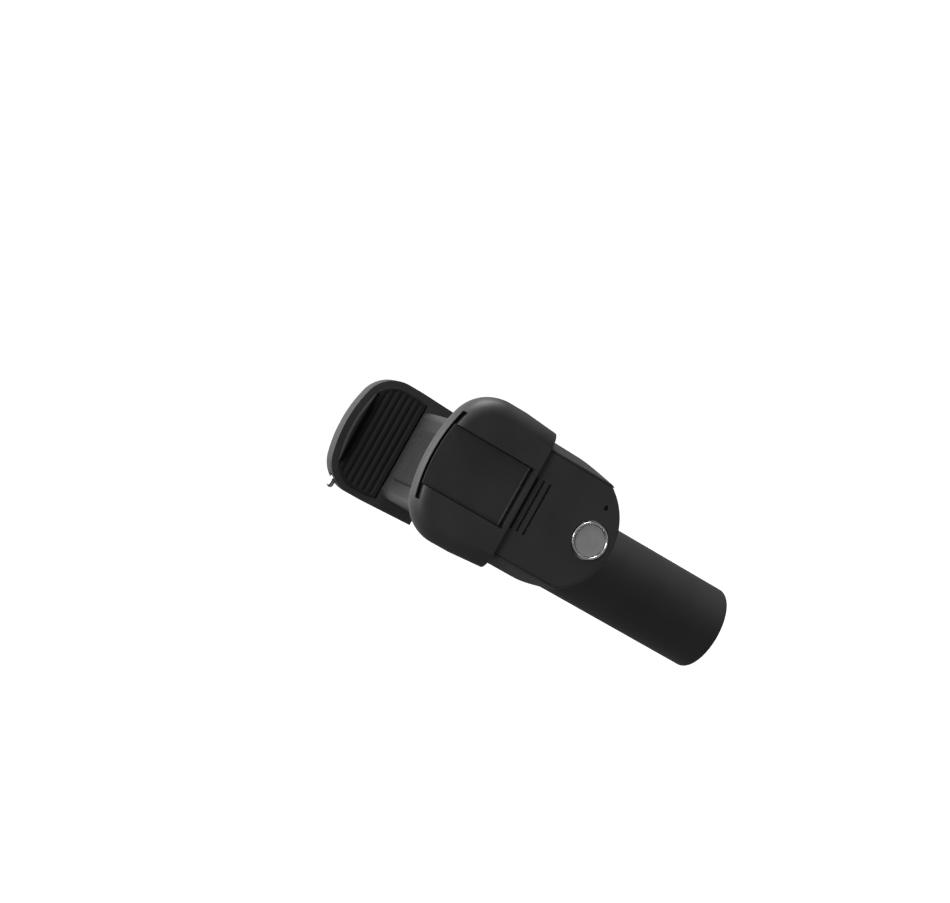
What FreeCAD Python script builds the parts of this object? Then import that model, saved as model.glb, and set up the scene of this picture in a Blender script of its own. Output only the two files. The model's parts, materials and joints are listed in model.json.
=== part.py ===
import FreeCAD, Part
import math
import os

# Selfie stick with a spring phone clamp and a slide-out camera remote. Millimetres.
# The pole lies on the Z axis with its foot at the origin. The head is folded square to
# the pole and reaches along -Y: far jaw, sleeve, sliding arm, near jaw with the remote.

# Phone that the clamp is set to
PHONE_WIDTH = 70.9
PHONE_THICKNESS = 7.7
GRIP_CLEARANCE = 0.15      # rubber to phone edge, each side
PHONE_BACK_GAP = 1.8       # sleeve's top to the phone's back

# Handle
HANDLE_RADIUS = 11.0
HANDLE_LENGTH = 64.0
HANDLE_WALL = 1.4
HANDLE_EDGE = 1.0
FOOT_CAP_DEPTH = 3.0

# Telescopic sections
SECTION_COUNT = 5
SECTION_WALL = 0.35
SECTION_RISE = 1.6         # each section's top above the one around it
SECTION_FOOT_GAP = 1.0
SECTION_FOOT_STEP = 2.0
COLLAR_WALL = 0.7
COLLAR_DEPTH = 5.0
COLLAR_LIP = 0.8
BUSH_LENGTH = 6.0
RUNNING_CLEARANCE = 0.05

# Head hinge
FORK_RADIUS = 9.5
FORK_GAP = 0.5
EAR_WIDTH = 5.0
NECK_HEIGHT = 3.0
NECK_RADIUS = 6.5
KNUCKLE_WIDTH = 10.0
KNUCKLE_RELIEF = 1.0       # knuckle's radius under the fork's
WASHER_THICKNESS = 0.3
HINGE_PIN_RADIUS = 2.0
HINGE_HEAD_RADIUS = 3.6
HINGE_HEAD_HEIGHT = 2.0
PLUG_LENGTH = 14.0

# Jaws, seen along Y as a D with its bow at the front
JAW_HALF_WIDTH = 14.7
JAW_TAPER = 0.5
JAW_FRONT_RADIUS = 33.0
JAW_CORNER_RADIUS = 8.5
JAW_REACH = 5.9            # jaw's front beyond the phone's front
FAR_JAW_INSET = 0.6
FAR_JAW_THICKNESS = 7.2
FAR_JAW_SETBACK = 5.5      # far jaw's outer face beyond the fork's round
FAR_COVER_THICKNESS = 1.5
PAD_INSET = 1.5
PAD_SEAT = 1.2
PAD_SKIN = 0.2             # rubber behind the phone's edge, proud of the jaw's rim
PAD_GROOVE = 1.6
PAD_LIP_GAP = 2.5          # phone's front to the pad's lip
CROSS_PIN_RADIUS = 0.8

# Sleeve, arm and springs
SLEEVE_HALF_WIDTH = 11.0
SLEEVE_HEIGHT = 12.0
SLEEVE_WALL = 1.4
SLEEVE_RISE = 0.5          # sleeve's underside above the hinge axis
CLOSE_TRAVEL = 11.0
OPEN_TRAVEL = 17.0
CLOSED_GAP = 2.4
ARM_SIDE_GAP = 0.6
GLIDE_CLEARANCE = 0.1
GLIDE_LENGTH = 10.0
STOP_GAP = 0.2             # shoe to bush with the clamp fully open
TENON_SHOULDER = 1.5
MOUTH_BUSH_DEPTH = 3.0
SPRING_RADIUS = 2.6
SPRING_WIRE_RADIUS = 0.3
SPRING_TURNS = 9
ARCS_PER_TURN = 6
SPRING_OFFSET = 4.5
SPRING_END_WALL = 2.0

# Near jaw: flange, cover and inlay
FLANGE_THICKNESS = 3.45
FLANGE_INSET = 0.9         # flange's outline inside the cover's
COVER_DEPTH = 4.0
COVER_LENGTH = 19.7
COVER_WALL = 1.6
COVER_RIM = 1.4
COVER_ROUND = 3.0
WINDOW_MARGIN = 2.25       # tongue's side to the window's side
WINDOW_BAR = 0.75
WINDOW_SLOT = 0.65
WINDOW_FRONT = 2.9         # front end of the opening through the cover, behind the jaw's bow
BOW_RIM = 0.5              # wall left between the window and the bow
BOW_GAP = 0.5              # gap between that wall and the inlay
BOW_SLOT_WIDTH = 0.8
BOW_SLOT_REACH = 2.75      # slot's end beyond the window's side
INLAY_FLANGE = 0.8
INLAY_RECESS = 1.2
INLAY_LIP_WIDTH = 0.3
INLAY_LIP_HEIGHT = 0.15
INLAY_TAIL_GAP = 0.3       # inlay's flange to the cover's rear end

# Remote
REMOTE_LENGTH = 20.7
REMOTE_HALF_WIDTH = 10.7
REMOTE_STEP = 0.8          # remote's face under the cover's face
REMOTE_WALL = 0.8
REMOTE_CLEARANCE = 0.1
REMOTE_BASE = 0.8
BODY_LAND = 0.35
BODY_FLARE = 2.45
BODY_TAPER = 1.4
BODY_BACK_WALL = 1.2
END_RADIUS = 12.9
TONGUE_LENGTH = 11.0
TONGUE_MARGIN = 6.2        # jaw's side to the tongue's side
GROOVE_COUNT = 3
GROOVE_PITCH = 1.43
GROOVE_WIDTH = 0.5
GROOVE_HALF_LENGTH = 5.3
BUTTON_RISE = 5.1          # button's centre above the remote's end
BUTTON_RING_RADIUS = 3.62
BUTTON_CAP_RADIUS = 3.1
BUTTON_HOLE_RADIUS = 3.8
BUTTON_TRAVEL = 0.3
LED_RADIUS = 0.4
LED_X = 6.8
LED_DEPTH = 0.7            # lens under the remote's face
CELL_RADIUS = 8.0
CELL_THICKNESS = 1.6
BOARD_THICKNESS = 0.6

# Heights worked out from the sizes above
POLE_TOP = HANDLE_LENGTH + SECTION_COUNT * SECTION_RISE
HINGE_Z = POLE_TOP + NECK_HEIGHT + FORK_GAP + FORK_RADIUS
SLEEVE_Z0 = HINGE_Z + SLEEVE_RISE
SLEEVE_Z1 = SLEEVE_Z0 + SLEEVE_HEIGHT
SLEEVE_MID = (SLEEVE_Z0 + SLEEVE_Z1) / 2
PHONE_FRONT = SLEEVE_Z1 + PHONE_BACK_GAP + PHONE_THICKNESS
JAW_FRONT = PHONE_FRONT + JAW_REACH
COVER_REAR = JAW_FRONT - COVER_LENGTH
WINDOW_END = JAW_FRONT - WINDOW_FRONT
GROOVE_FRONT = PHONE_FRONT + PAD_LIP_GAP
REMOTE_END = COVER_REAR - REMOTE_LENGTH
END_CENTRE = REMOTE_END + END_RADIUS
BUTTON_Z = REMOTE_END + BUTTON_RISE
CELL_Z = COVER_REAR - CELL_RADIUS - 1.0

# Places along Y worked out from the sizes above
FAR_OUTER = -(FORK_RADIUS + FAR_JAW_SETBACK)
FAR_RIM = FAR_OUTER - FAR_JAW_THICKNESS
FAR_GROOVE = FAR_RIM - PAD_SKIN
NEAR_GROOVE = FAR_GROOVE - PHONE_WIDTH - 2 * GRIP_CLEARANCE
NEAR_RIM = NEAR_GROOVE - PAD_SKIN
PAD_PROUD = PAD_SKIN + PAD_GROOVE
FLANGE_OUTER = NEAR_RIM - FLANGE_THICKNESS
COVER_FACE = FLANGE_OUTER - COVER_DEPTH
COVER_UNDER = COVER_FACE + COVER_WALL
INLAY_FACE = COVER_FACE + INLAY_RECESS
INLAY_BACK = COVER_UNDER + INLAY_FLANGE
REMOTE_FACE = COVER_FACE + REMOTE_STEP
BAY_FLOOR = NEAR_RIM - BODY_BACK_WALL
REMOTE_BACK = BAY_FLOOR - REMOTE_CLEARANCE
BASE_TOP = REMOTE_BACK - REMOTE_BASE
CELL_BACK = BASE_TOP - 0.1
BOARD_BACK = CELL_BACK - CELL_THICKNESS - 0.3
BOARD_FACE = BOARD_BACK - BOARD_THICKNESS
SLEEVE_MOUTH = NEAR_RIM + CLOSE_TRAVEL + CLOSED_GAP
GLIDE_NEAR = SLEEVE_MOUTH + MOUTH_BUSH_DEPTH + OPEN_TRAVEL + STOP_GAP
ARM_END = GLIDE_NEAR + GLIDE_LENGTH
SPRING_WALL = FAR_RIM - SPRING_END_WALL - 1.4

# Half widths worked out from the sizes above
TONGUE_HALF_WIDTH = JAW_HALF_WIDTH - TONGUE_MARGIN
WINDOW_HALF_WIDTH = TONGUE_HALF_WIDTH - WINDOW_MARGIN
BOW_SLOT_HALF_WIDTH = WINDOW_HALF_WIDTH + BOW_SLOT_REACH
CAVITY_HALF_WIDTH = SLEEVE_HALF_WIDTH - SLEEVE_WALL
CAVITY_HALF_HEIGHT = SLEEVE_HEIGHT / 2 - SLEEVE_WALL
ARM_HALF_WIDTH = CAVITY_HALF_WIDTH - ARM_SIDE_GAP
ARM_HALF_HEIGHT = CAVITY_HALF_HEIGHT - ARM_SIDE_GAP

X_AXIS = FreeCAD.Vector(1, 0, 0)
Y_AXIS = FreeCAD.Vector(0, 1, 0)
Z_AXIS = FreeCAD.Vector(0, 0, 1)


def vec(x, y, z):
    return FreeCAD.Vector(x, y, z)


def block(x0, x1, y0, y1, z0, z1):
    return Part.makeBox(x1 - x0, y1 - y0, z1 - z0, vec(x0, y0, z0))


def wide_block(half, y0, y1, z0, z1):
    """Block centred on X = 0."""
    return block(-half, half, y0, y1, z0, z1)


def rod_x(radius, x0, x1, y, z):
    return Part.makeCylinder(radius, x1 - x0, vec(x0, y, z), X_AXIS)


def rod_y(radius, y0, y1, x, z):
    return Part.makeCylinder(radius, y1 - y0, vec(x, y0, z), Y_AXIS)


def rod_z(radius, z0, z1):
    return Part.makeCylinder(radius, z1 - z0, vec(0, 0, z0), Z_AXIS)


def ring_z(outer, inner, z0, z1):
    return rod_z(outer, z0, z1).cut(rod_z(inner, z0, z1))


def ring_y(outer, inner, y0, y1, x, z):
    return rod_y(outer, y0, y1, x, z).cut(rod_y(inner, y0, y1, x, z))


def join(*shapes):
    return shapes[0].fuse(list(shapes[1:])).removeSplitter()


def edges_where(shape, test):
    """Edges whose middle point passes the test."""
    chosen = []
    for edge in shape.Edges:
        middle = edge.valueAt((edge.FirstParameter + edge.LastParameter) / 2)
        if test(edge, middle):
            chosen.append(edge)
    return chosen


def along(edge, axis):
    start = edge.Vertexes[0].Point
    end = edge.Vertexes[-1].Point
    line = end.sub(start)
    return line.Length > 1e-6 and abs(abs(line.dot(axis)) - line.Length) < 1e-6


def near(value, target):
    return abs(value - target) < 1e-4


def section_radius(number):
    """Outer radius of telescopic section 1, 2, ... counted from the outside."""
    first = HANDLE_RADIUS - HANDLE_WALL - COLLAR_WALL - 2 * RUNNING_CLEARANCE - 0.3
    return first - (number - 1) * (SECTION_WALL + COLLAR_WALL + RUNNING_CLEARANCE)


def bore_radius(number):
    """Inner radius of section 1, 2, ...; number 0 is the handle."""
    if number == 0:
        return HANDLE_RADIUS - HANDLE_WALL
    return section_radius(number) - SECTION_WALL


def section_foot(number):
    return FOOT_CAP_DEPTH + SECTION_FOOT_GAP + (number - 1) * SECTION_FOOT_STEP


def section_top(number):
    """Top of section 1, 2, ... at rest; number 0 is the handle."""
    return HANDLE_LENGTH + number * SECTION_RISE


def jaw_solid(inset, y0, y1, z0):
    """D-shaped block between two Y planes, its outline moved inward by inset."""
    radius = JAW_FRONT_RADIUS - inset
    centre = JAW_FRONT - JAW_FRONT_RADIUS
    wide = JAW_HALF_WIDTH - inset
    waist = centre + JAW_FRONT_RADIUS * 0.61
    foot_width = wide - JAW_TAPER
    top = JAW_FRONT + 1
    corners = [(-foot_width, z0), (foot_width, z0), (wide, waist), (wide, top), (-wide, top),
               (-wide, waist)]
    points = [vec(x, y0, z) for x, z in corners]
    outline = Part.makePolygon(points + points[:1])
    prism = Part.Face(outline).extrude(vec(0, y1 - y0, 0))
    solid = prism.common(rod_y(radius, y0, y1, 0, centre))
    corner_edges = edges_where(
        solid, lambda edge, at: along(edge, Y_AXIS) and at.z > waist + 1)
    return solid.makeFillet(JAW_CORNER_RADIUS - inset, corner_edges)


def bow_block(inset, half, y0, y1, z0):
    """Block from z0 up to a wall of thickness inset behind the jaw's bow."""
    bow = rod_y(JAW_FRONT_RADIUS - inset, y0, y1, 0, JAW_FRONT - JAW_FRONT_RADIUS)
    return wide_block(half, y0, y1, z0, JAW_FRONT).common(bow)


def round_end(inset, y0, y1):
    """Remote's plan without its sides: a round foot running up into open space."""
    end = rod_y(END_RADIUS - inset, y0, y1, 0, END_CENTRE)
    return join(end, wide_block(END_RADIUS - inset, y0, y1, END_CENTRE, COVER_REAR + 5))


def handle_grip():
    grip = ring_z(HANDLE_RADIUS, bore_radius(0), 0, HANDLE_LENGTH)
    rims = edges_where(grip, lambda edge, at: near(math.hypot(at.x, at.y), HANDLE_RADIUS)
                       and (near(at.z, 0) or near(at.z, HANDLE_LENGTH)))
    return grip.makeFillet(HANDLE_EDGE, rims)


def foot_cap():
    cap = rod_z(bore_radius(0), 0, FOOT_CAP_DEPTH)
    hollow = rod_z(bore_radius(0) - 2.0, 1.5, FOOT_CAP_DEPTH)
    return cap.cut(hollow)


def pole_tube(number):
    return ring_z(section_radius(number), bore_radius(number),
                  section_foot(number), section_top(number))


def foot_bush(number):
    """Sliding bush round a section's foot, running in the bore around it."""
    foot = section_foot(number)
    return ring_z(bore_radius(number - 1) - RUNNING_CLEARANCE, section_radius(number),
                  foot, foot + BUSH_LENGTH)


def mouth_collar(number):
    """Ring pressed into a mouth, round the section that slides out of it."""
    top = section_top(number - 1)
    inner = section_radius(number) + RUNNING_CLEARANCE
    sleeve = ring_z(bore_radius(number - 1), inner, top - COLLAR_DEPTH, top)
    lip_radius = bore_radius(number - 1) + 0.6 * (HANDLE_WALL if number == 1 else SECTION_WALL)
    return join(sleeve, ring_z(lip_radius, inner, top, top + COLLAR_LIP))


def pole_head():
    """Plug in the last section, with the knuckle that the head turns on."""
    half = KNUCKLE_WIDTH / 2
    knuckle_radius = FORK_RADIUS - KNUCKLE_RELIEF
    neck_top = POLE_TOP + NECK_HEIGHT
    plug = rod_z(bore_radius(SECTION_COUNT), POLE_TOP - PLUG_LENGTH, POLE_TOP)
    neck = rod_z(NECK_RADIUS, POLE_TOP, neck_top)
    stem = block(-half, half, -NECK_RADIUS + 1, NECK_RADIUS - 1, POLE_TOP, HINGE_Z)
    stem = stem.common(rod_z(NECK_RADIUS, POLE_TOP, HINGE_Z))
    knuckle = rod_x(knuckle_radius, -half, half, 0, HINGE_Z)
    body = join(plug, neck, stem, knuckle)
    bore = HINGE_PIN_RADIUS + RUNNING_CLEARANCE
    return body.cut(rod_x(bore, -half, half, 0, HINGE_Z))


def fork_outer():
    return KNUCKLE_WIDTH / 2 + WASHER_THICKNESS + EAR_WIDTH


def hinge_pin():
    outer = fork_outer()
    shank = rod_x(HINGE_PIN_RADIUS, -outer + HINGE_HEAD_HEIGHT, outer - 0.3, 0, HINGE_Z)
    head = rod_x(HINGE_HEAD_RADIUS, -outer, -outer + HINGE_HEAD_HEIGHT, 0, HINGE_Z)
    slot = block(-outer, -outer + 0.8, -HINGE_HEAD_RADIUS, HINGE_HEAD_RADIUS,
                 HINGE_Z - 0.5, HINGE_Z + 0.5)
    return join(shank, head).cut(slot)


def hexagon_x(across_flats, x0, x1):
    radius = across_flats / math.sqrt(3)
    points = []
    for corner in range(6):
        angle = math.radians(60 * corner + 30)
        points.append(vec(x0, radius * math.cos(angle), HINGE_Z + radius * math.sin(angle)))
    return Part.Face(Part.makePolygon(points + points[:1])).extrude(vec(x1 - x0, 0, 0))


def hinge_nut():
    outer = fork_outer()
    nut = hexagon_x(2 * HINGE_HEAD_RADIUS - 0.4, outer - HINGE_HEAD_HEIGHT, outer - 0.3)
    return nut.cut(rod_x(HINGE_PIN_RADIUS, 0, outer, 0, HINGE_Z))


def hinge_washers():
    washers = []
    for side in (-1, 1):
        inner = side * KNUCKLE_WIDTH / 2
        outer = inner + side * WASHER_THICKNESS
        low, high = min(inner, outer), max(inner, outer)
        disc = rod_x(FORK_RADIUS - KNUCKLE_RELIEF - 1.0, low, high, 0, HINGE_Z)
        washers.append(disc.cut(rod_x(HINGE_PIN_RADIUS, low, high, 0, HINGE_Z)))
    return Part.makeCompound(washers)


def fork():
    """Two ears round the knuckle, and the web that ties them to the far jaw."""
    inner = KNUCKLE_WIDTH / 2 + WASHER_THICKNESS
    outer = fork_outer()
    reach = FAR_OUTER - 1.0
    slab = wide_block(outer, reach, 0, HINGE_Z - FORK_RADIUS, HINGE_Z + FORK_RADIUS)
    body = join(slab, rod_x(FORK_RADIUS, -outer, outer, 0, HINGE_Z))
    side_edges = edges_where(body, lambda edge, at: near(abs(at.x), outer)
                             and at.y > reach + 0.1)
    body = body.makeFillet(1.2, side_edges)
    gap = block(-inner, inner, -FORK_RADIUS - 0.2, FORK_RADIUS + 1,
                HINGE_Z - FORK_RADIUS - 1, HINGE_Z + FORK_RADIUS + 1)
    body = body.cut(gap)
    body = body.cut(rod_x(HINGE_PIN_RADIUS, -outer, outer, 0, HINGE_Z))
    head_hole = rod_x(HINGE_HEAD_RADIUS, -outer, -outer + HINGE_HEAD_HEIGHT, 0, HINGE_Z)
    nut_hole = hexagon_x(2 * HINGE_HEAD_RADIUS - 0.4, outer - HINGE_HEAD_HEIGHT, outer)
    return body.cut([head_hole, nut_hole])


def pad_seat(inset, rim, side, lowest):
    """Pocket for a pad: side is +1 when it opens towards +Y."""
    y0, y1 = sorted((rim, rim - side * PAD_SEAT))
    return jaw_solid(inset + PAD_INSET, y0, y1, lowest)


def cross_pin_place():
    return (FAR_OUTER + FAR_RIM) / 2 - 0.7, PHONE_FRONT + 0.8


def far_cover_outline(inset, y0, y1):
    return jaw_solid(FAR_JAW_INSET + 1.6 + inset, y0, y1, SLEEVE_Z1 + 0.5)


def far_screw_places():
    return [(-8.0, SLEEVE_Z1 + 3.5), (8.0, SLEEVE_Z1 + 3.5)]


def clamp_base():
    """Far jaw, fork and sleeve in one moulding."""
    jaw = jaw_solid(FAR_JAW_INSET, FAR_RIM, FAR_OUTER, SLEEVE_Z0 + 2)
    outer_edges = edges_where(jaw, lambda edge, at: near(at.y, FAR_OUTER)
                              and at.z > SLEEVE_Z0 + 2.1)
    jaw = jaw.makeFillet(1.6, outer_edges)
    low_z = HINGE_Z - FORK_RADIUS
    root = wide_block(SLEEVE_HALF_WIDTH + 0.6, FAR_RIM, FAR_OUTER, low_z, SLEEVE_Z1)
    root_edges = edges_where(root, lambda edge, at: near(at.z, low_z)
                             or (along(edge, Z_AXIS) and near(at.y, FAR_OUTER)))
    root = root.makeFillet(1.6, root_edges)
    sleeve = wide_block(SLEEVE_HALF_WIDTH, SLEEVE_MOUTH, FAR_RIM + 1, SLEEVE_Z0, SLEEVE_Z1)
    sleeve_edges = edges_where(sleeve, lambda edge, at: along(edge, Y_AXIS))
    sleeve = sleeve.makeFillet(2.0, sleeve_edges)
    body = join(jaw, root, sleeve, fork())
    cavity = wide_block(CAVITY_HALF_WIDTH, SLEEVE_MOUTH, SPRING_WALL,
                        SLEEVE_MID - CAVITY_HALF_HEIGHT, SLEEVE_MID + CAVITY_HALF_HEIGHT)
    body = body.cut([cavity, pad_seat(FAR_JAW_INSET, FAR_RIM, -1, SLEEVE_Z1),
                     back_pad(), far_hollow()])
    body = body.cut(far_cover_outline(0, FAR_OUTER - FAR_COVER_THICKNESS, FAR_OUTER + 1))
    for x, z in far_screw_places():
        body = body.fuse(rod_y(2.2, FAR_RIM + PAD_SEAT, FAR_OUTER - FAR_COVER_THICKNESS, x, z))
        body = body.cut(rod_y(0.8, FAR_OUTER - 5, FAR_OUTER, x, z))
    y, z = cross_pin_place()
    body = body.cut(rod_x(CROSS_PIN_RADIUS, -JAW_HALF_WIDTH, JAW_HALF_WIDTH - 2.5, y, z))
    for side in (-1, 1):
        boss = rod_y(SPRING_RADIUS - 0.5, SPRING_WALL - 3, SPRING_WALL,
                     side * SPRING_OFFSET, SLEEVE_MID)
        body = body.fuse(boss)
    return body.removeSplitter()


def far_hollow():
    """Space inside the far jaw, behind the pad's seat."""
    return jaw_solid(FAR_JAW_INSET + 3.0, FAR_RIM + PAD_SEAT + 1.4,
                     FAR_OUTER - FAR_COVER_THICKNESS, SLEEVE_Z1 + 1.5)


def far_jaw_cover():
    plate = far_cover_outline(0.05, FAR_OUTER - FAR_COVER_THICKNESS, FAR_OUTER)
    for x, z in far_screw_places():
        plate = plate.cut([rod_y(0.9, FAR_OUTER - 3, FAR_OUTER, x, z),
                           rod_y(1.7, FAR_OUTER - 0.9, FAR_OUTER, x, z)])
    return plate


def screw_y(radius, head_radius, head_height, x, z, y_head, length):
    """Screw along Y with its head's top at y_head; length is negative towards -Y."""
    step = 1 if length > 0 else -1
    low, high = sorted((y_head, y_head + step * head_height))
    head = rod_y(head_radius, low, high, x, z)
    low, high = sorted((y_head, y_head + length))
    shank = rod_y(radius, low, high, x, z)
    recess_low, recess_high = sorted((y_head, y_head + step * 0.4))
    cross = join(block(x - 0.9, x + 0.9, recess_low, recess_high, z - 0.2, z + 0.2),
                 block(x - 0.2, x + 0.2, recess_low, recess_high, z - 0.9, z + 0.9))
    return join(head, shank).cut(cross)


def far_jaw_screws():
    screws = [screw_y(0.8, 1.6, 0.9, x, z, FAR_OUTER, -4.6) for x, z in far_screw_places()]
    return Part.makeCompound(screws)


def jaw_cross_pin():
    """Steel pin across the far jaw, with a domed head standing out of its side."""
    y, z = cross_pin_place()
    head_x = -JAW_HALF_WIDTH + 0.5
    pin = rod_x(CROSS_PIN_RADIUS, head_x, JAW_HALF_WIDTH - 2.5, y, z)
    dome = Part.makeSphere(CROSS_PIN_RADIUS, vec(head_x, y, z))
    return join(pin, dome)


def jaw_pad(inset, rim, side):
    """Rubber pad in a jaw's seat, its groove closed by one lip in front of the phone."""
    y0, y1 = sorted((rim - side * PAD_SEAT, rim + side * PAD_PROUD))
    pad = jaw_solid(inset + PAD_INSET, y0, y1, SLEEVE_Z1 + 0.2)
    face = rim + side * PAD_PROUD
    soft_edges = edges_where(pad, lambda edge, at: near(at.y, face) and at.z > SLEEVE_Z1 + 0.5)
    pad = pad.makeFillet(0.6, soft_edges)
    g0, g1 = sorted((face, face - side * PAD_GROOVE))
    return pad.cut(wide_block(JAW_HALF_WIDTH, g0, g1, SLEEVE_Z1, GROOVE_FRONT))


def back_pad():
    """Rubber strip on the sleeve, under the phone's back."""
    pad = wide_block(6.5, SLEEVE_MOUTH + 6, FAR_RIM - 6, SLEEVE_Z1 - 0.6, SLEEVE_Z1 + 1.1)
    corner_edges = edges_where(pad, lambda edge, at: along(edge, Z_AXIS))
    return pad.makeFillet(2.0, corner_edges)


def mouth_bush():
    """Guide in the sleeve's mouth, with a lip over the sleeve's end."""
    inner_x = ARM_HALF_WIDTH + RUNNING_CLEARANCE
    inner_z = ARM_HALF_HEIGHT + RUNNING_CLEARANCE
    lip = wide_block(SLEEVE_HALF_WIDTH - 0.3, SLEEVE_MOUTH - 0.8, SLEEVE_MOUTH,
                     SLEEVE_Z0 + 0.3, SLEEVE_Z1 - 0.3)
    lip_edges = edges_where(lip, lambda edge, at: along(edge, Y_AXIS))
    lip = lip.makeFillet(1.8, lip_edges)
    ring = wide_block(CAVITY_HALF_WIDTH, SLEEVE_MOUTH, SLEEVE_MOUTH + MOUTH_BUSH_DEPTH,
                      SLEEVE_MID - CAVITY_HALF_HEIGHT, SLEEVE_MID + CAVITY_HALF_HEIGHT)
    hole = wide_block(inner_x, SLEEVE_MOUTH - 1, SLEEVE_MOUTH + MOUTH_BUSH_DEPTH,
                      SLEEVE_MID - inner_z, SLEEVE_MID + inner_z)
    return join(lip, ring).cut(hole)


def coil(length):
    """Open spring along +Z from the origin, its wire a run of short arcs."""
    count = SPRING_TURNS * ARCS_PER_TURN

    def on_helix(step):
        angle = 2 * math.pi * step / ARCS_PER_TURN
        return vec(SPRING_RADIUS * math.cos(angle), SPRING_RADIUS * math.sin(angle),
                   length * step / count)

    arcs = [Part.Arc(on_helix(step), on_helix(step + 0.5), on_helix(step + 1)).toShape()
            for step in range(count)]
    heading = vec(0, 2 * math.pi * SPRING_RADIUS, length / SPRING_TURNS)
    profile = Part.Wire(Part.makeCircle(SPRING_WIRE_RADIUS, on_helix(0), heading))
    return Part.Wire(arcs).makePipeShell([profile], True, True)


def closing_springs():
    """Two extension springs between the arm's end and the sleeve's end wall."""
    start = ARM_END + SPRING_WIRE_RADIUS + 0.05
    length = SPRING_WALL - SPRING_WIRE_RADIUS - 0.05 - start
    springs = []
    for side in (-1, 1):
        spring = coil(length)
        spring.rotate(vec(0, 0, 0), X_AXIS, -90)
        spring.translate(vec(side * SPRING_OFFSET, start, SLEEVE_MID))
        springs.append(spring)
    return Part.makeCompound(springs)


def cover_screw_places():
    outer_x = TONGUE_HALF_WIDTH + 1.9
    return [(-outer_x, COVER_REAR + 6.5), (outer_x, COVER_REAR + 6.5),
            (-outer_x + 0.4, COVER_REAR + 12.5), (outer_x - 0.4, COVER_REAR + 12.5)]


def remote_bay():
    """Space that the remote slides out of, open at its round end and at its face."""
    half = REMOTE_HALF_WIDTH + REMOTE_CLEARANCE
    bay = wide_block(half, REMOTE_FACE - 1, BAY_FLOOR, REMOTE_END - 1,
                     COVER_REAR + REMOTE_CLEARANCE)
    rail = wide_block(half + 0.3, rail_low() - 0.1, rail_low() + 1.1, REMOTE_END - 1,
                      COVER_REAR - 0.5)
    return join(bay, rail)


def rail_low():
    return REMOTE_FACE + 2.9


def slide_body():
    """Near jaw's moulding: flange, remote bay and the arm that runs in the sleeve."""
    flange = jaw_solid(FLANGE_INSET, FLANGE_OUTER, NEAR_RIM, COVER_REAR)
    near_edges = edges_where(flange, lambda edge, at: near(at.y, NEAR_RIM)
                             and at.z > COVER_REAR + 0.1)
    flange = flange.makeFillet(0.8, near_edges)
    face_half = REMOTE_HALF_WIDTH + REMOTE_CLEARANCE + BODY_LAND
    back_half = face_half + BODY_FLARE
    depth = 30.0
    taper = BODY_TAPER * depth / REMOTE_LENGTH
    floor = COVER_REAR - depth
    face = [vec(-face_half, REMOTE_FACE, floor), vec(face_half, REMOTE_FACE, floor),
            vec(face_half, REMOTE_FACE, COVER_REAR), vec(-face_half, REMOTE_FACE, COVER_REAR)]
    back = [vec(-back_half + taper, NEAR_RIM, floor), vec(back_half - taper, NEAR_RIM, floor),
            vec(back_half, NEAR_RIM, COVER_REAR), vec(-back_half, NEAR_RIM, COVER_REAR)]
    wires = [Part.makePolygon(face + face[:1]), Part.makePolygon(back + back[:1])]
    holder = Part.makeLoft(wires, True, True)
    holder = holder.common(round_end(0, REMOTE_FACE, NEAR_RIM))
    arm = wide_block(ARM_HALF_WIDTH, NEAR_RIM - 1, GLIDE_NEAR,
                     SLEEVE_MID - ARM_HALF_HEIGHT, SLEEVE_MID + ARM_HALF_HEIGHT)
    tenon = wide_block(ARM_HALF_WIDTH - TENON_SHOULDER, GLIDE_NEAR - 1, ARM_END,
                       SLEEVE_MID - ARM_HALF_HEIGHT + TENON_SHOULDER,
                       SLEEVE_MID + ARM_HALF_HEIGHT - TENON_SHOULDER)
    tongue_end = COVER_REAR + TONGUE_LENGTH
    rest = wide_block(TONGUE_HALF_WIDTH, INLAY_BACK, FLANGE_OUTER, tongue_end + 0.6,
                      WINDOW_END)
    body = join(flange, holder, arm, tenon, rest)
    for side in (-1, 1):
        body = body.fuse(rod_y(SPRING_RADIUS - 0.5, ARM_END, ARM_END + 3,
                               side * SPRING_OFFSET, SLEEVE_MID))
    body = body.cut([remote_bay(), pad_seat(FLANGE_INSET, NEAR_RIM, 1, SLEEVE_Z1)])
    for x, z in cover_screw_places():
        seat = NEAR_RIM - PAD_SEAT
        body = body.cut([rod_y(0.8, FLANGE_OUTER, seat, x, z),
                         rod_y(1.5, seat - 0.7, NEAR_RIM + 0.1, x, z)])
    return body.removeSplitter()


def arm_glide():
    """Plastic shoe on the arm's tenon; it meets the mouth bush when the clamp is open."""
    half_x = CAVITY_HALF_WIDTH - GLIDE_CLEARANCE
    half_z = CAVITY_HALF_HEIGHT - GLIDE_CLEARANCE
    shoe = wide_block(half_x, GLIDE_NEAR, ARM_END, SLEEVE_MID - half_z, SLEEVE_MID + half_z)
    tenon = wide_block(ARM_HALF_WIDTH - TENON_SHOULDER, GLIDE_NEAR, ARM_END,
                       SLEEVE_MID - ARM_HALF_HEIGHT + TENON_SHOULDER,
                       SLEEVE_MID + ARM_HALF_HEIGHT - TENON_SHOULDER)
    return shoe.cut(tenon)


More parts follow.
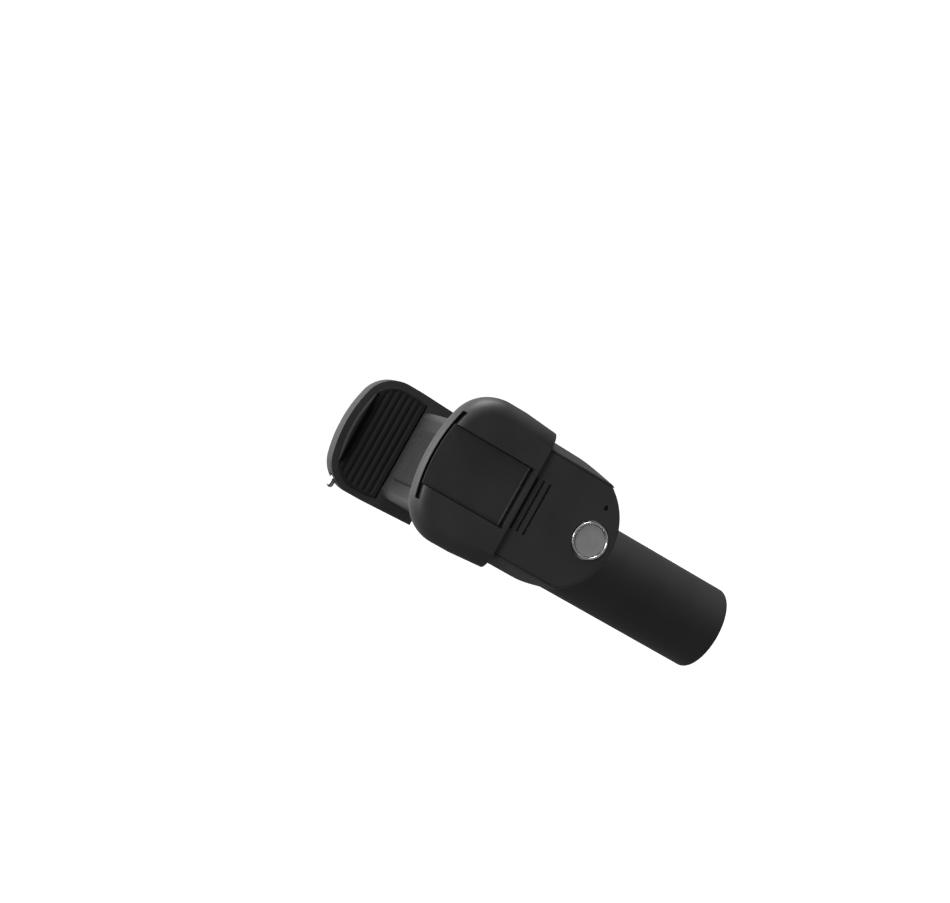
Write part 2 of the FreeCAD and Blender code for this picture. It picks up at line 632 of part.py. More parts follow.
def jaw_cover():
    """Raised frame over the near jaw, with a T-shaped window that ends at its bow."""
    cover = jaw_solid(0, COVER_FACE, FLANGE_OUTER, COVER_REAR)
    face_edges = edges_where(cover, lambda edge, at: near(at.y, COVER_FACE)
                             and at.z > COVER_REAR + 0.1)
    cover = cover.makeFillet(COVER_ROUND, face_edges)
    hollow = jaw_solid(COVER_RIM, COVER_UNDER, FLANGE_OUTER, COVER_REAR + 1.2)
    mouth = wide_block(TONGUE_HALF_WIDTH + 0.2, COVER_UNDER, FLANGE_OUTER,
                       COVER_REAR, COVER_REAR + 2)
    window = wide_block(WINDOW_HALF_WIDTH, COVER_FACE - 1, FLANGE_OUTER,
                        COVER_REAR + WINDOW_BAR, WINDOW_END)
    top = bow_block(BOW_RIM, WINDOW_HALF_WIDTH, COVER_FACE - 1, INLAY_BACK, WINDOW_END - 1)
    cover = cover.cut([hollow, mouth, window, top, bow_slot()])
    for x, z in cover_screw_places():
        boss = rod_y(1.9, COVER_UNDER, FLANGE_OUTER, x, z)
        boss = boss.cut(wide_block(TONGUE_HALF_WIDTH + 0.2, COVER_UNDER, FLANGE_OUTER,
                                   COVER_REAR, JAW_FRONT))
        cover = cover.fuse(boss).cut(rod_y(0.8, COVER_UNDER + 0.6, FLANGE_OUTER, x, z))
    return cover.removeSplitter()


def bow_slot():
    """Curved slot behind the bow's wall, across the window's front end."""
    half = BOW_SLOT_HALF_WIDTH
    low = WINDOW_END - 3
    whole = bow_block(BOW_RIM, half, COVER_FACE - 1, INLAY_BACK, low)
    return whole.cut(bow_block(BOW_RIM + BOW_SLOT_WIDTH, half, COVER_FACE - 1, INLAY_BACK, low))


def jaw_cover_screws():
    seat = NEAR_RIM - PAD_SEAT
    length = COVER_UNDER + 0.6 - seat
    screws = [screw_y(0.8, 1.5, 0.7, x, z, seat, length) for x, z in cover_screw_places()]
    return Part.makeCompound(screws)


def inlay_plate():
    """Panel in the window, held by its flange under the cover."""
    low = COVER_REAR + WINDOW_BAR + WINDOW_SLOT
    half = WINDOW_HALF_WIDTH - 0.1
    panel = bow_block(BOW_RIM + BOW_GAP, half, INLAY_FACE, COVER_UNDER, low)
    lip = wide_block(half, INLAY_FACE - INLAY_LIP_HEIGHT, INLAY_FACE, low, low + INLAY_LIP_WIDTH)
    flange = bow_block(COVER_RIM + 0.1, TONGUE_HALF_WIDTH, COVER_UNDER, INLAY_BACK,
                       COVER_REAR + INLAY_TAIL_GAP)
    return join(panel, lip, flange)


def remote_plan(inset, y0, y1):
    sides = wide_block(REMOTE_HALF_WIDTH - inset, y0, y1, REMOTE_END, COVER_REAR - inset)
    return sides.common(round_end(0.1 + inset, y0, y1))


def remote_shell():
    """Remote's upper case, with finger grooves and the tongue that goes under the cover."""
    shell = remote_plan(0, REMOTE_FACE, BASE_TOP)
    end_edges = edges_where(shell, lambda edge, at: near(at.y, REMOTE_FACE)
                            and at.z < END_CENTRE - END_RADIUS * 0.4 and not along(edge, Z_AXIS))
    shell = shell.makeFillet(0.6, end_edges)
    shell = shell.cut(remote_plan(REMOTE_WALL, REMOTE_FACE + REMOTE_WALL, BASE_TOP))
    tongue = wide_block(TONGUE_HALF_WIDTH, INLAY_BACK + 0.1, FLANGE_OUTER - 0.1,
                        COVER_REAR - 0.4, COVER_REAR + TONGUE_LENGTH)
    rails = wide_block(REMOTE_HALF_WIDTH + 0.2, rail_low(), rail_low() + 1.0,
                       END_CENTRE, COVER_REAR - 1.5)
    rails = rails.cut(wide_block(REMOTE_HALF_WIDTH - 0.4, rail_low(), rail_low() + 1.0,
                                 END_CENTRE, COVER_REAR))
    shell = join(shell, tongue, rails)
    for number in range(GROOVE_COUNT):
        z = COVER_REAR - 0.35 - number * GROOVE_PITCH
        shell = shell.cut(wide_block(GROOVE_HALF_LENGTH, REMOTE_FACE - 1, REMOTE_FACE + 0.45,
                                     z - GROOVE_WIDTH, z))
    button_hole = rod_y(BUTTON_HOLE_RADIUS, REMOTE_FACE - 1, REMOTE_FACE + REMOTE_WALL, 0,
                        BUTTON_Z)
    led_hole = rod_y(LED_RADIUS + 0.1, REMOTE_FACE - 1, REMOTE_FACE + REMOTE_WALL, LED_X,
                     BUTTON_Z + 0.3)
    return shell.cut([button_hole, led_hole])


def remote_base():
    base = remote_plan(0, BASE_TOP, REMOTE_BACK)
    return base.cut(rod_y(CELL_RADIUS + 0.6, BASE_TOP, REMOTE_BACK, 0, CELL_Z))


def battery_door():
    door = rod_y(CELL_RADIUS + 0.5, BASE_TOP, REMOTE_BACK, 0, CELL_Z)
    slot = block(-3.5, 3.5, REMOTE_BACK - 0.4, REMOTE_BACK, CELL_Z - 0.6, CELL_Z + 0.6)
    return door.cut(slot)


def coin_cell():
    cell = rod_y(CELL_RADIUS, CELL_BACK - CELL_THICKNESS, CELL_BACK, 0, CELL_Z)
    rims = edges_where(cell, lambda edge, at: not along(edge, Y_AXIS))
    return cell.makeFillet(0.3, rims)


def circuit_board():
    inset = REMOTE_WALL + 0.3
    return remote_plan(inset, BOARD_FACE, BOARD_BACK)


def battery_contacts():
    """Two sprung strips between the board and the cell."""
    strips = []
    for x in (-4.0, 4.0):
        strips.append(block(x - 1.0, x + 1.0, BOARD_BACK + 0.02, BOARD_BACK + 0.22,
                            CELL_Z - 4, CELL_Z + 4))
    return Part.makeCompound(strips)


def dome_switch():
    return rod_y(2.4, BOARD_FACE - 0.4, BOARD_FACE, 0, BUTTON_Z)


def status_led():
    return rod_y(LED_RADIUS, REMOTE_FACE + LED_DEPTH, BOARD_FACE, LED_X, BUTTON_Z + 0.3)


def button_ring():
    """Bright ring in the face, with a foot that holds it behind the shell."""
    face = REMOTE_FACE - 0.2
    foot = REMOTE_FACE + REMOTE_WALL
    bore = BUTTON_CAP_RADIUS + 0.04
    ring = ring_y(BUTTON_RING_RADIUS, bore, face, foot, 0, BUTTON_Z)
    crown = edges_where(ring, lambda edge, at: near(at.y, face) and not along(edge, Y_AXIS))
    ring = ring.makeFillet(0.45 * (BUTTON_RING_RADIUS - bore), crown)
    foot_ring = ring_y(BUTTON_HOLE_RADIUS + 0.15, bore, foot, foot + 0.3, 0, BUTTON_Z)
    return join(ring, foot_ring)


def button_cap():
    """Round key that presses the dome switch."""
    face = REMOTE_FACE + 0.1
    stem_end = BOARD_FACE - 0.4 - BUTTON_TRAVEL - 0.05
    cap = rod_y(BUTTON_CAP_RADIUS, face, face + 0.8, 0, BUTTON_Z)
    rims = edges_where(cap, lambda edge, at: near(at.y, face) and not along(edge, Y_AXIS))
    cap = cap.makeFillet(0.2, rims)
    return join(cap, rod_y(1.2, face + 0.8, stem_end, 0, BUTTON_Z))


def all_nodes():
    nodes = {"handle_grip": handle_grip(), "foot_cap": foot_cap()}
    for number in range(1, SECTION_COUNT + 1):
        nodes["pole_tube_%d" % number] = pole_tube(number)
        nodes["foot_bush_%d" % number] = foot_bush(number)
        nodes["mouth_collar_%d" % number] = mouth_collar(number)
    makers = (pole_head, hinge_pin, hinge_nut, hinge_washers, clamp_base, far_jaw_cover,
              far_jaw_screws, jaw_cross_pin, back_pad, mouth_bush, closing_springs, slide_body,
              arm_glide, jaw_cover, jaw_cover_screws, inlay_plate, remote_shell, remote_base,
              battery_door, coin_cell, circuit_board, battery_contacts, dome_switch,
              status_led, button_ring, button_cap)
    for maker in makers:
        nodes[maker.__name__] = maker()
    nodes["far_jaw_pad"] = jaw_pad(FAR_JAW_INSET, FAR_RIM, -1)
    nodes["near_jaw_pad"] = jaw_pad(FLANGE_INSET, NEAR_RIM, 1)
    return nodes


os.makedirs("parts", exist_ok=True)
for name, shape in all_nodes().items():
    shape.exportStep("parts/%s.step" % name)
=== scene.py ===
import json
import math

import bmesh
import bpy
from mathutils import Matrix, Vector


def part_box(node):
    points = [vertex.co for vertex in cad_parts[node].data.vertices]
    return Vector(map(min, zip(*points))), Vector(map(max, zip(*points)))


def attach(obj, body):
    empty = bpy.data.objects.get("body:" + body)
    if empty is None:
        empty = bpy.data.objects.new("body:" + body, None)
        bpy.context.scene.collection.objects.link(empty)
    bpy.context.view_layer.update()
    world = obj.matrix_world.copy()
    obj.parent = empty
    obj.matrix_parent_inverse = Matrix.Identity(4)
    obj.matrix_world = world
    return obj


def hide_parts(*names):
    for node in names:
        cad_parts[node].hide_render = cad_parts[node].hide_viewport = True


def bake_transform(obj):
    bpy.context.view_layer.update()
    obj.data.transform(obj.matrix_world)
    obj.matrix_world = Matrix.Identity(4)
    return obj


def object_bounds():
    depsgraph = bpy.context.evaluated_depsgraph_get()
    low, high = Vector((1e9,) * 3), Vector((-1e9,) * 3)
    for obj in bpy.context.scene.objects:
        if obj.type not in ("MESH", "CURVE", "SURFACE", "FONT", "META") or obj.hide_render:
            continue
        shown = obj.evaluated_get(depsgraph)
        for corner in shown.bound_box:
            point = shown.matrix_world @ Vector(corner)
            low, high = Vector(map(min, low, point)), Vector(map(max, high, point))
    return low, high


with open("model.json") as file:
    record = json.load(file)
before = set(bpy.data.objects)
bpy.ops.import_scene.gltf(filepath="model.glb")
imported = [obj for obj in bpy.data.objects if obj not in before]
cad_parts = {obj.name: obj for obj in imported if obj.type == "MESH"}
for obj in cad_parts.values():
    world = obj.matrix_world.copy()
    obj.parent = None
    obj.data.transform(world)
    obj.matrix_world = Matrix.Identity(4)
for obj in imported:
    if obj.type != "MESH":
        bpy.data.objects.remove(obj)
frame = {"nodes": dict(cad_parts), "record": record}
cad_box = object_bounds()
nodes = frame["nodes"]

MM = 0.001
TURN = 2 * math.pi

# Camera: a long lens held above the near jaw and rolled over on its side
CAMERA_PLACE = Vector((-15.0, -394.0, 192.4)) * MM
CAMERA_RIGHT = Vector((0.4877, -0.2758, -0.8283))
CAMERA_UP = Vector((0.8709, 0.0878, 0.4835))
LENS = 63.9
SENSOR = 36.0
CLIP_NEAR = 10 * MM
CLIP_FAR = 50.0

# Studio: a white room that is brighter on one side, and a pale floor well below the stick
BRIGHT_SIDE = Vector((0.35, 0.55, 0.75))
BRIGHT_GLOW = 0.9
DARK_GLOW = 0.04
GLOW_SPAN = (-0.5, 1.0)        # cosine to the bright side where the glow starts and is full
FLOOR_DEPTH = 0.12
FLOOR_SIZE = 12.0
FLOOR_BOUNCE = 0.14            # what it throws back on the stick
FLOOR_GLOW = 0.95              # what makes it look white
FLOOR_ROUGHNESS = 0.9

# Disc lights that point at the stick's middle: place, diameter, watts
LIGHTS = {
    "key_light": ((0.80, -0.10, 0.45), 0.5, 7.2),
    "top_light": ((0.0, 0.25, 1.0), 0.7, 5.0),
    "rim_light": ((-0.20, -0.55, 0.80), 0.3, 3.0),
}

# Finishes: how noise is spread over a colour and over a roughness
NOISE_ROUGHNESS = 0.55
COLOR_SPAN = (0.35, 0.65)
ROUGHNESS_SPAN = (0.3, 0.7)

# Edge radius on the hard parts
WELD_DISTANCE = 0.001 * MM
BEVEL_WIDTH = 0.12 * MM
BEVEL_SEGMENTS = 2
BEVEL_ANGLE = math.radians(35)

# Rubber pads
SHEET_COLUMNS = 24             # to each side of the middle
SHEET_CREASE = math.radians(50)
PAD_EDGE = 0.5 * MM            # radius of the outer edges
GROOVE_EDGE = 0.6 * PAD_EDGE
RIB_DEPTH = 0.2 * MM
RIB_MARGIN = 0.9 * MM          # plain border round the ribs
VALLEY_SHARE = 0.28            # half of a valley's width, to the pitch

# Jaw pads
BOW_RADIUS = 33.0 * MM         # the jaw's front edge, before the pad's inset
CORNER_RADIUS = 8.5 * MM
FAR_PAD_INSET = 2.1 * MM
NEAR_PAD_INSET = 2.4 * MM
TAPER = 0.5 * MM               # how much narrower each side is at the pad's foot
TAPER_HEIGHT = 2.3 * MM
LIP_Z = 109.5 * MM             # underside of the lip that closes over the phone's front
LIP_RISE = 1.6 * MM
RIB_PITCH = 1.6 * MM
PAD_ROW_STEP = 0.16 * MM
BOW_ROWS = 28
LIP_ROWS = (-3, -2, -1, 0, 1)  # extra rows about the lip's underside
LIP_ROW_STEP = 0.1 * MM

# Strip on the sleeve
STRIP_PITCH = 2.4 * MM
STRIP_MARGIN = 2 * RIB_MARGIN
STRIP_CORNER = 2.0 * MM
STRIP_ROW_STEP = 0.2 * MM
STRIP_END_ROWS = 10

# Closing springs
WIRE_RADIUS = 0.3 * MM
WIRE_SIDES = 10
SPRING_TURNS = 9
STEPS_PER_TURN = 24

REPLACED_NODES = ("far_jaw_pad", "near_jaw_pad", "back_pad", "closing_springs")


# Studio

def make_camera():
    data = bpy.data.cameras.new("camera")
    data.lens = LENS
    data.sensor_width = SENSOR
    data.clip_start = CLIP_NEAR
    data.clip_end = CLIP_FAR
    camera = bpy.data.objects.new("camera", data)
    bpy.context.scene.collection.objects.link(camera)
    back = CAMERA_RIGHT.cross(CAMERA_UP).normalized()
    up = back.cross(CAMERA_RIGHT).normalized()
    turn = Matrix((CAMERA_RIGHT.normalized(), up, back)).transposed()
    camera.matrix_world = Matrix.Translation(CAMERA_PLACE) @ turn.to_4x4()
    bpy.context.scene.camera = camera


def make_lights():
    aim = (cad_box[0] + cad_box[1]) / 2
    for name, (place, size, watts) in LIGHTS.items():
        data = bpy.data.lights.new(name, "AREA")
        data.shape = "DISK"
        data.size = size
        data.energy = watts
        light = bpy.data.objects.new(name, data)
        bpy.context.scene.collection.objects.link(light)
        light.location = place
        light.rotation_euler = (aim - Vector(place)).to_track_quat("-Z", "Y").to_euler()


def make_world():
    """A white backdrop to look at; as light, bright above and behind, dark in front."""
    world = bpy.data.worlds.new("studio")
    bpy.context.scene.world = world
    world.use_nodes = True
    tree = world.node_tree
    background = tree.nodes["Background"]
    background.inputs["Color"].default_value = (1, 1, 1, 1)
    place = tree.nodes.new("ShaderNodeTexCoord")
    facing = tree.nodes.new("ShaderNodeVectorMath")
    facing.operation = "DOT_PRODUCT"
    facing.inputs[1].default_value = BRIGHT_SIDE.normalized()
    glow = tree.nodes.new("ShaderNodeMapRange")
    glow.interpolation_type = "SMOOTHSTEP"
    glow.inputs["From Min"].default_value = GLOW_SPAN[0]
    glow.inputs["From Max"].default_value = GLOW_SPAN[1]
    glow.inputs["To Min"].default_value = DARK_GLOW
    glow.inputs["To Max"].default_value = BRIGHT_GLOW
    path = tree.nodes.new("ShaderNodeLightPath")
    strength = tree.nodes.new("ShaderNodeMix")
    strength.inputs["B"].default_value = 1.0
    tree.links.new(place.outputs["Generated"], facing.inputs[0])
    tree.links.new(facing.outputs["Value"], glow.inputs["Value"])
    tree.links.new(path.outputs["Is Camera Ray"], strength.inputs["Factor"])
    tree.links.new(glow.outputs["Result"], strength.inputs["A"])
    tree.links.new(strength.outputs["Result"], background.inputs["Strength"])


def make_floor():
    """A pale floor that looks white, and throws only a little light back."""
    low = cad_box[0].z - FLOOR_DEPTH
    half = FLOOR_SIZE / 2
    mesh = bpy.data.meshes.new("floor")
    corners = [(-half, -half, low), (half, -half, low), (half, half, low), (-half, half, low)]
    mesh.from_pydata(corners, [], [(0, 1, 2, 3)])
    floor = bpy.data.objects.new("floor", mesh)
    bpy.context.scene.collection.objects.link(floor)
    material = bpy.data.materials.new("pale_floor")
    material.use_nodes = True
    tree = material.node_tree
    shader = tree.nodes["Principled BSDF"]
    shader.inputs["Base Color"].default_value = (FLOOR_BOUNCE, FLOOR_BOUNCE, FLOOR_BOUNCE, 1)
    shader.inputs["Roughness"].default_value = FLOOR_ROUGHNESS
    shader.inputs["Specular IOR Level"].default_value = 0.0
    glow = tree.nodes.new("ShaderNodeEmission")
    glow.inputs["Strength"].default_value = FLOOR_GLOW
    path = tree.nodes.new("ShaderNodeLightPath")
    seen = tree.nodes.new("ShaderNodeMixShader")
    both = tree.nodes.new("ShaderNodeAddShader")
    tree.links.new(shader.outputs["BSDF"], both.inputs[0])
    tree.links.new(glow.outputs["Emission"], both.inputs[1])
    tree.links.new(path.outputs["Is Camera Ray"], seen.inputs["Fac"])
    tree.links.new(shader.outputs["BSDF"], seen.inputs[1])
    tree.links.new(both.outputs["Shader"], seen.inputs[2])
    tree.links.new(seen.outputs["Shader"], tree.nodes["Material Output"].inputs["Surface"])
    mesh.materials.append(material)


# Finishes

class Surface:
    """A procedural material under construction, in object coordinates."""

    def __init__(self, name, metallic=0.0, specular=0.5):
        self.material = bpy.data.materials.new(name)
        self.material.use_nodes = True
        self.tree = self.material.node_tree
        self.shader = self.tree.nodes["Principled BSDF"]
        self.shader.inputs["Metallic"].default_value = metallic
        self.shader.inputs["Specular IOR Level"].default_value = specular
        self.place = self.tree.nodes.new("ShaderNodeTexCoord").outputs["Object"]

    def noise(self, scale, detail, stretch=None):
        """Noise of about 1/scale metres; stretch scales the three axes first."""
        place = self.place
        if stretch:
            mapping = self.tree.nodes.new("ShaderNodeMapping")
            mapping.inputs["Scale"].default_value = stretch
            self.tree.links.new(self.place, mapping.inputs["Vector"])
            place = mapping.outputs["Vector"]
        texture = self.tree.nodes.new("ShaderNodeTexNoise")
        texture.inputs["Scale"].default_value = scale
        texture.inputs["Detail"].default_value = detail
        texture.inputs["Roughness"].default_value = NOISE_ROUGHNESS
        self.tree.links.new(place, texture.inputs["Vector"])
        return texture.outputs["Fac"]

    def color(self, driver, tint, darkest, lightest):
        """The tint, varied between two shares of itself."""
        ramp = self.tree.nodes.new("ShaderNodeValToRGB")
        stops = zip(ramp.color_ramp.elements, COLOR_SPAN, (darkest, lightest))
        for stop, position, share in stops:
            stop.position = position
            stop.color = (*[channel * share for channel in tint], 1)
        self.tree.links.new(driver, ramp.inputs["Fac"])
        self.tree.links.new(ramp.outputs["Color"], self.shader.inputs["Base Color"])

    def roughness(self, driver, low, high):
        spread = self.tree.nodes.new("ShaderNodeMapRange")
        spread.inputs["From Min"].default_value = ROUGHNESS_SPAN[0]
        spread.inputs["From Max"].default_value = ROUGHNESS_SPAN[1]
        spread.inputs["To Min"].default_value = low
        spread.inputs["To Max"].default_value = high
        self.tree.links.new(driver, spread.inputs["Value"])
        self.tree.links.new(spread.outputs["Result"], self.shader.inputs["Roughness"])

    def bump(self, driver, depth):
        """Relief of the given depth in metres."""
        relief = self.tree.nodes.new("ShaderNodeBump")
        relief.inputs["Distance"].default_value = depth
        relief.inputs["Strength"].default_value = 1.0
        self.tree.links.new(driver, relief.inputs["Height"])
        self.tree.links.new(relief.outputs["Normal"], self.shader.inputs["Normal"])


def grey(shade):
    return (shade, shade, shade)


def moulded_plastic(name, shade):
    """Spark-eroded ABS: a fine even grain with faint flow marks."""
    surface = Surface(name)
    grain = surface.noise(scale=5200, detail=2.0)
    flow = surface.noise(scale=90, detail=3.0)
    surface.color(flow, grey(shade), darkest=0.9, lightest=1.12)
    surface.roughness(flow, low=0.44, high=0.52)
    surface.bump(grain, depth=0.012 * MM)
    return surface.material


def soft_touch(name, shade):
    """Soft-touch paint: a very fine grain, clouded as handling leaves it."""
    surface = Surface(name, specular=0.45)
    grain = surface.noise(scale=3800, detail=3.0)
    cloud = surface.noise(scale=60, detail=4.0)
    surface.color(cloud, grey(shade), darkest=0.9, lightest=1.15)
    surface.roughness(cloud, low=0.5, high=0.6)
    surface.bump(grain, depth=0.008 * MM)
    return surface.material


def rubber(name, shade):
    """Dull rubber with a coarser grain."""
    surface = Surface(name, specular=0.35)
    grain = surface.noise(scale=2600, detail=5.0)
    surface.color(grain, grey(shade), darkest=0.8, lightest=1.3)
    surface.roughness(grain, low=0.7, high=0.85)
    surface.bump(grain, depth=0.02 * MM)
    return surface.material


def drawn_metal(name, tint, low, high, stretch=(1, 1, 1)):
    """Metal with fine marks, drawn out along the axis that stretch makes small."""
    surface = Surface(name, metallic=1.0)
    marks = surface.noise(scale=900, detail=3.0, stretch=stretch)
    surface.color(marks, tint, darkest=0.92, lightest=1.0)
    surface.roughness(marks, low, high)
    surface.bump(marks, depth=0.004 * MM)
    return surface.material


def plain_gloss(name, tint, middle):
    """A smooth moulded or lacquered surface about the given roughness."""
    surface = Surface(name)
    cloud = surface.noise(scale=400, detail=2.0)
    surface.color(cloud, tint, darkest=0.95, lightest=1.05)
    surface.roughness(cloud, low=middle - 0.03, high=middle + 0.03)
    return surface.material


MATERIALS = {
    "soft_black": soft_touch("soft_black", 0.02),
    "black_plastic": moulded_plastic("black_plastic", 0.033),
    "dark_nylon": plain_gloss("dark_nylon", (0.011, 0.011, 0.012), 0.35),
    "steel_tube": drawn_metal("steel_tube", (0.62, 0.62, 0.63), 0.12, 0.2, stretch=(1, 1, 0.05)),
    "zinc_steel": drawn_metal("zinc_steel", (0.55, 0.55, 0.54), 0.25, 0.35),
    "black_rubber": rubber("black_rubber", 0.008),
    "chrome": drawn_metal("chrome", (0.92, 0.92, 0.93), 0.16, 0.22),
    "button_grey": plain_gloss("button_grey", grey(0.34), 0.4),
    "cell_steel": drawn_metal("cell_steel", (0.6, 0.6, 0.58), 0.2, 0.3, stretch=(1, 0.1, 1)),
    "board_green": plain_gloss("board_green", (0.02, 0.12, 0.05), 0.4),
    "led_lens": plain_gloss("led_lens", (0.004, 0.004, 0.006), 0.12),
}


def dress(node, slot):
    """Gives a CAD node its material and a small even radius on its sharp edges."""
    piece = nodes[node]
    piece.data.materials.clear()
    piece.data.materials.append(MATERIALS[slot])
    weld = piece.modifiers.new("weld", "WELD")
    weld.merge_threshold = WELD_DISTANCE
    bevel = piece.modifiers.new("edge_radius", "BEVEL")
    bevel.width = BEVEL_WIDTH
    bevel.segments = BEVEL_SEGMENTS
    bevel.limit_method = "ANGLE"
    bevel.angle_limit = BEVEL_ANGLE
    bevel.harden_normals = True


def make_piece(shell, name, slot):
    """An object of a finished bmesh, in its material."""
    mesh = bpy.data.meshes.new(name)
    shell.to_mesh(mesh)
    shell.free()
    piece = bpy.data.objects.new(name, mesh)
    bpy.context.scene.collection.objects.link(piece)
    mesh.materials.append(MATERIALS[slot])
    return piece


# Rubber pads

def evenly(low, high, step):
    """Places from low to high, about a step apart."""
    count = max(1, round((high - low) / step))
    return [low + (high - low) * k / count for k in range(count + 1)]


def edge_drop(gap, radius):
    """How far a surface has dropped at a gap inside a rounded edge."""
    short = max(0.0, radius - max(0.0, gap))
    return radius - math.sqrt(radius * radius - short * short)


def rib_valley(place, pitch):
    """Depth of the narrow valleys between flat-topped ribs."""
    phase = abs(place / pitch - round(place / pitch)) * pitch
    return RIB_DEPTH * max(0.0, 1.0 - (phase / (VALLEY_SHARE * pitch)) ** 2)


def soft_sheet(node, body, rows, height, to_place):
    """Closed rubber sheet: rows of (place, half width), a height over them and a flat back."""
    shell = bmesh.new()
    columns = [math.sin(TURN / 4 * k / SHEET_COLUMNS)
               for k in range(-SHEET_COLUMNS, SHEET_COLUMNS + 1)]
    face, back = [], []
    for place, half in rows:
        across = [half * column for column in columns]
        face.append([shell.verts.new(to_place(x, place, height(x, place, half))) for x in across])
        back.append([shell.verts.new(to_place(x, place, 0.0)) for x in across])
    last_row, last_column = len(rows) - 1, len(columns) - 1
    for grid in (face, back):
        for i in range(last_row):
            for j in range(last_column):
                shell.faces.new((grid[i][j], grid[i][j + 1], grid[i + 1][j + 1], grid[i + 1][j]))
    rim = [(0, j) for j in range(last_column)]
    rim += [(i, last_column) for i in range(last_row)]
    rim += [(last_row, j) for j in range(last_column, 0, -1)]
    rim += [(i, 0) for i in range(last_row, 0, -1)]
    for (i, j), (k, m) in zip(rim, rim[1:] + rim[:1]):
        shell.faces.new((face[i][j], face[k][m], back[k][m], back[i][j]))
    bmesh.ops.recalc_face_normals(shell, faces=shell.faces)
    for edge in shell.edges:
        edge.smooth = edge.calc_face_angle(0.0) < SHEET_CREASE
    for polygon in shell.faces:
        polygon.smooth = True
    piece = make_piece(shell, "soft_" + node, "black_rubber")
    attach(piece, body)
    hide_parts(node)


def jaw_pad(node, body, inset, outward):
    """Rubber pad with a D outline: ribs behind the phone's edge and a lip in front of it."""
    low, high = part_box(node)
    half = high.x
    radius = BOW_RADIUS - inset
    corner = CORNER_RADIUS - inset
    centre = high.z - radius
    corner_x = half - corner
    corner_z = centre + math.sqrt((radius - corner) ** 2 - corner_x ** 2)
    turn = math.atan2(corner_x, corner_z - centre)
    meet_z = centre + radius * math.cos(turn)

    def half_width(z):
        if z <= corner_z:
            slope = max(0.0, (low.z + TAPER_HEIGHT - z) / TAPER_HEIGHT)
            return half - TAPER * slope
        if z <= meet_z:
            return corner_x + math.sqrt(max(0.0, corner ** 2 - (z - corner_z) ** 2))
        return math.sqrt(max(0.0, radius ** 2 - (z - centre) ** 2))

    heights = evenly(low.z, meet_z, PAD_ROW_STEP)[:-1]
    heights += [centre + radius * math.cos(turn * (1 - k / BOW_ROWS)) for k in range(BOW_ROWS)]
    heights += [LIP_Z + k * LIP_ROW_STEP for k in LIP_ROWS]
    rows = [(z, half_width(z)) for z in sorted(heights)]
    groove = high.y - low.y - LIP_RISE
    seat = low.y if outward > 0 else high.y

    def height(x, z, row_half):
        gap = min(row_half - abs(x), z - low.z)
        bow = math.sqrt(radius ** 2 - x ** 2) + centre - z
        if z < LIP_Z:
            valley = rib_valley(z - low.z, RIB_PITCH) if gap > RIB_MARGIN else 0.0
            return groove - valley - edge_drop(min(gap, bow), GROOVE_EDGE)
        rise = LIP_RISE - edge_drop(z - LIP_Z, PAD_EDGE)
        return groove + rise - edge_drop(min(gap, bow), PAD_EDGE)

    def to_place(x, z, rise):
        return Vector((x, seat + outward * rise, z))

    soft_sheet(node, body, rows, height, to_place)


def back_strip(node, body):
    """Rubber strip along the sleeve, with ribs across it."""
    low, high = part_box(node)
    full = high.z - low.z

    def half_width(y):
        gap = min(y - low.y, high.y - y)
        return high.x - edge_drop(gap, STRIP_CORNER)

    ends = [STRIP_CORNER * (1 - math.cos(TURN / 4 * k / STRIP_END_ROWS))
            for k in range(STRIP_END_ROWS)]
    places = [low.y + end for end in ends]
    places += evenly(low.y + STRIP_CORNER, high.y - STRIP_CORNER, STRIP_ROW_STEP)
    places += [high.y - end for end in reversed(ends)]
    rows = [(y, half_width(y)) for y in places]

    def height(x, y, row_half):
        gap = min(row_half - abs(x), y - low.y, high.y - y)
        valley = rib_valley(y - low.y, STRIP_PITCH) if gap > STRIP_MARGIN else 0.0
        return full - valley - edge_drop(gap, PAD_EDGE)

    def to_place(x, y, rise):
        return Vector((x, y, low.z + rise))

    soft_sheet(node, body, rows, height, to_place)


# Closing springs

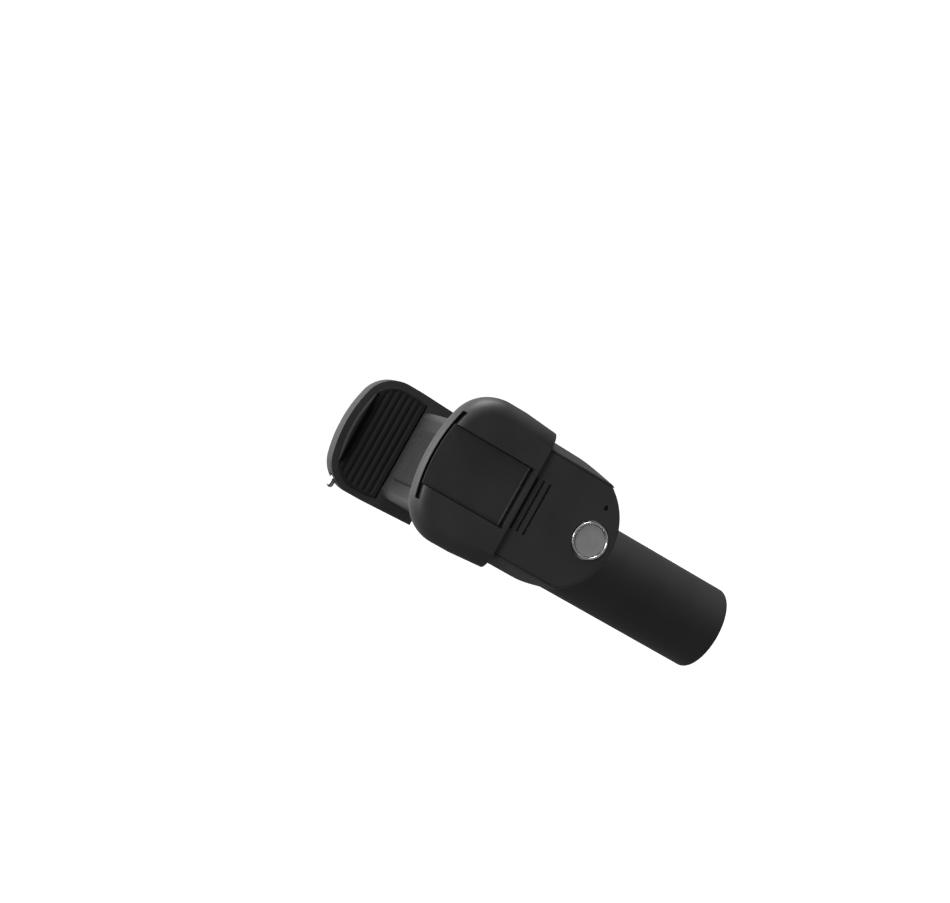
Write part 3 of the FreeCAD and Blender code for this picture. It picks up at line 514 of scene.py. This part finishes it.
def add_coil(shell, start, length, coil_radius):
    """A wire wound round the line that runs along +Y from its start."""
    steps = SPRING_TURNS * STEPS_PER_TURN
    around = TURN * coil_radius
    pitch = length / SPRING_TURNS
    rings = []
    for step in range(steps + 1):
        angle = TURN * step / STEPS_PER_TURN
        outward = Vector((math.cos(angle), 0, math.sin(angle)))
        heading = Vector((-outward.z * around, pitch, outward.x * around)).normalized()
        across = heading.cross(outward)
        middle = start + Vector((0, length * step / steps, 0)) + outward * coil_radius
        ring = []
        for side in range(WIRE_SIDES):
            turn = TURN * side / WIRE_SIDES
            spoke = outward * math.cos(turn) + across * math.sin(turn)
            ring.append(shell.verts.new(middle + spoke * WIRE_RADIUS))
        rings.append(ring)
    for ring, after in zip(rings, rings[1:]):
        for k in range(WIRE_SIDES):
            m = (k + 1) % WIRE_SIDES
            shell.faces.new((ring[k], ring[m], after[m], after[k]))
    shell.faces.new(reversed(rings[0]))
    shell.faces.new(rings[-1])


def closing_springs(node):
    """Two wound springs in the sleeve; they stretch between its end wall and the arm."""
    low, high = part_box(node)
    middle_z = (low.z + high.z) / 2
    coil_radius = (high.z - low.z) / 2 - WIRE_RADIUS
    offset = high.x - coil_radius - WIRE_RADIUS
    length = high.y - low.y - 2 * WIRE_RADIUS
    shell = bmesh.new()
    for side in (-1, 1):
        start = Vector((side * offset, low.y + WIRE_RADIUS, middle_z))
        add_coil(shell, start, length, coil_radius)
    bmesh.ops.recalc_face_normals(shell, faces=shell.faces)
    for face in shell.faces:
        face.smooth = len(face.verts) == 4
    piece = make_piece(shell, "wound_springs", "zinc_steel")
    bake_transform(piece)
    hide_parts(node)


make_camera()
make_world()
make_floor()
make_lights()
jaw_pad("far_jaw_pad", "clamp_base", FAR_PAD_INSET, outward=-1)
jaw_pad("near_jaw_pad", "clamp_slide", NEAR_PAD_INSET, outward=1)
back_strip("back_pad", "clamp_base")
closing_springs("closing_springs")
for entry in frame["record"]["subparts"]:
    if entry["node"] not in REPLACED_NODES:
        dress(entry["node"], entry["material_slot"])

bpy.context.scene.view_settings.view_transform = "Standard"
